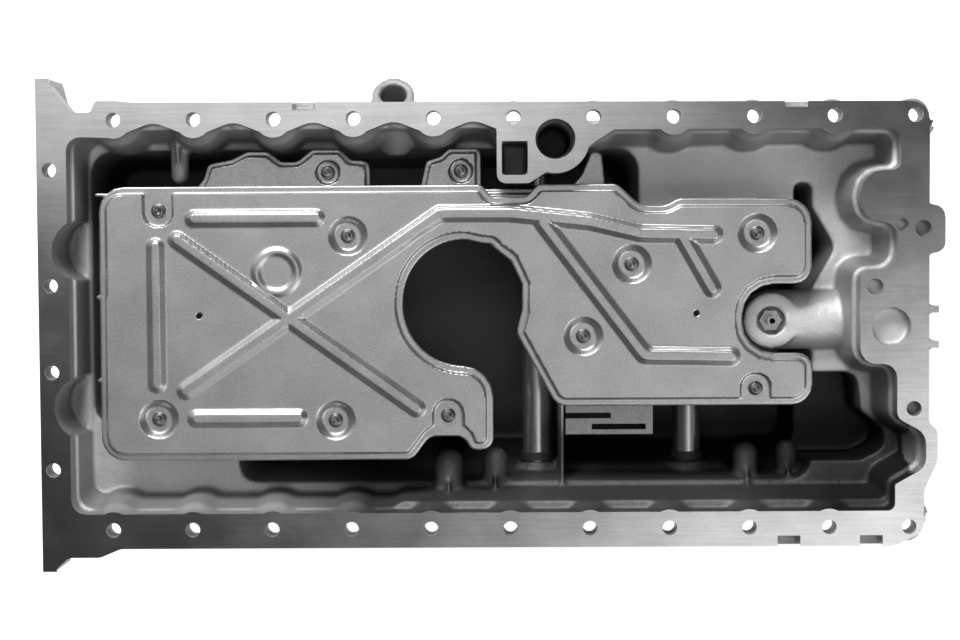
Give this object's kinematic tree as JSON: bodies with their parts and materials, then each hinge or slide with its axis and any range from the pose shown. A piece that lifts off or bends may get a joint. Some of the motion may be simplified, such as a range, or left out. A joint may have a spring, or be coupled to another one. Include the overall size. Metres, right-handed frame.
{
  "type": "engine oil pan",
  "caption": "Cast aluminium engine oil pan with its wide bolting rail up, stamped windage baffles, strainer and suction pipes inside.",
  "frame": {"origin": "middle of the box, on the underside of the sump that the pan stands on", "axes": "+Z out of the open side through the rail face, +X along the rail towards the narrow end, +Y across it towards the dipstick socket"},
  "size_m": [0.516, 0.282, 0.13],
  "materials": {
    "pan_casting": "sand cast, rough, with milled rail face",
    "upper_baffle": "satin stamped sheet",
    "baffle_screws": "dark plated",
    "lower_baffle": "satin stamped sheet, oily",
    "lower_screws": "dark plated",
    "slotted_tray": "folded sheet, oily",
    "tray_screws": "dark plated",
    "suction_pipe": "drawn tube, satin",
    "suction_seals": "moulded rubber",
    "strainer_pipe": "drawn tube, satin",
    "strainer_seal": "moulded rubber",
    "strainer_hood": "moulded black plastic",
    "strainer_screen": "perforated steel sheet",
    "strainer_bolt": "dark plated",
    "gallery_plug": "zinc plated",
    "oil_nozzle": "plain steel",
    "drain_plug": "zinc plated",
    "drain_washer": "copper ring"
  },
  "bodies": {
    "root": {"pan_casting": "pan_casting", "upper_baffle": "upper_baffle", "baffle_screws": "baffle_screws", "lower_baffle": "lower_baffle", "lower_screws": "lower_screws", "slotted_tray": "slotted_tray", "tray_screws": "tray_screws", "suction_pipe": "suction_pipe", "suction_seals": "suction_seals", "strainer_pipe": "strainer_pipe", "strainer_seal": "strainer_seal", "strainer_hood": "strainer_hood", "strainer_screen": "strainer_screen", "strainer_bolt": "strainer_bolt", "gallery_plug": "gallery_plug", "oil_nozzle": "oil_nozzle", "drain_plug": "drain_plug", "drain_washer": "drain_washer"}
  },
  "joints": []
}
